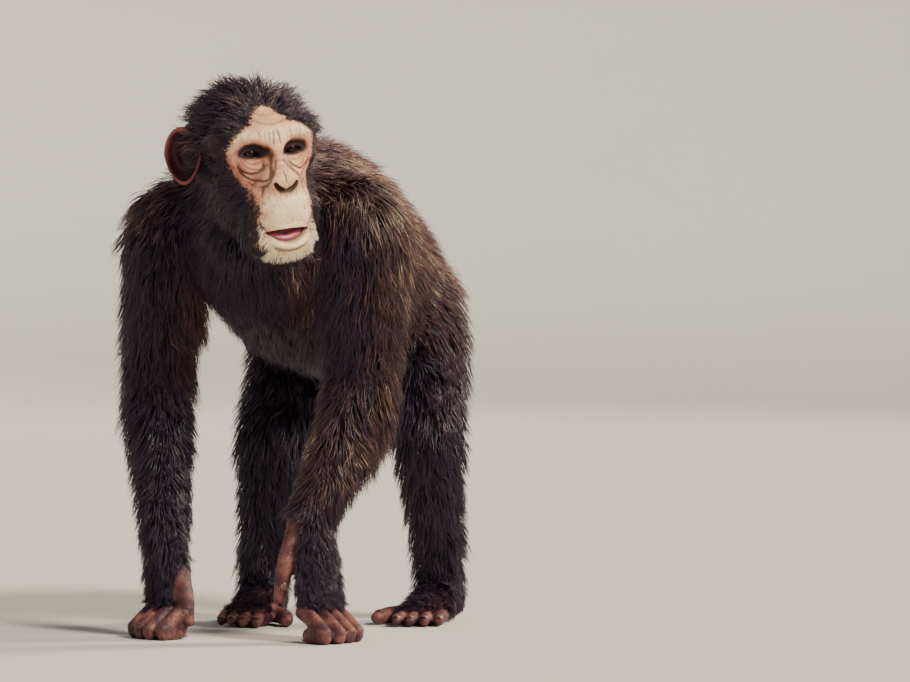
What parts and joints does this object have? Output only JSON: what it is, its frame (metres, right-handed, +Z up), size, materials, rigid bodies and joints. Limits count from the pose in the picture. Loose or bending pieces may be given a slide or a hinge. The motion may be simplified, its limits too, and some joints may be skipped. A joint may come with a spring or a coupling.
{
  "type": "chimpanzee",
  "caption": "Still, life-size chimpanzee standing on its knuckles and soles with its head turned to its left, as a museum display model.",
  "frame": {"origin": "middle of the footprint on the floor, at the level the knuckles and soles rest on", "axes": "+Z up, -Y ahead of the trunk, +X towards the animal's left"},
  "size_m": [0.4558, 0.7366, 0.7997],
  "materials": {
    "fur": "matte",
    "face": "satin",
    "bare_skin": "satin",
    "eye": "gloss",
    "tongue": "gloss"
  },
  "bodies": {
    "root": {"chest": "fur", "abdomen": "fur", "neck": "fur", "head": "face", "tongue": "tongue", "eye_left": "eye", "ear_left": "bare_skin", "upper_arm_left": "fur", "forearm_left": "fur", "hand_left": "bare_skin", "thumb_left": "bare_skin", "finger_index_left": "bare_skin", "finger_middle_left": "bare_skin", "finger_ring_left": "bare_skin", "finger_little_left": "bare_skin", "thigh_left": "fur", "shank_left": "fur", "foot_left": "bare_skin", "toe_big_left": "bare_skin", "toe_second_left": "bare_skin", "toe_third_left": "bare_skin", "toe_fourth_left": "bare_skin", "toe_fifth_left": "bare_skin", "eye_right": "eye", "ear_right": "bare_skin", "upper_arm_right": "fur", "forearm_right": "fur", "hand_right": "bare_skin", "thumb_right": "bare_skin", "finger_index_right": "bare_skin", "finger_middle_right": "bare_skin", "finger_ring_right": "bare_skin", "finger_little_right": "bare_skin", "thigh_right": "fur", "shank_right": "fur", "foot_right": "bare_skin", "toe_big_right": "bare_skin", "toe_second_right": "bare_skin", "toe_third_right": "bare_skin", "toe_fourth_right": "bare_skin", "toe_fifth_right": "bare_skin"}
  },
  "joints": []
}
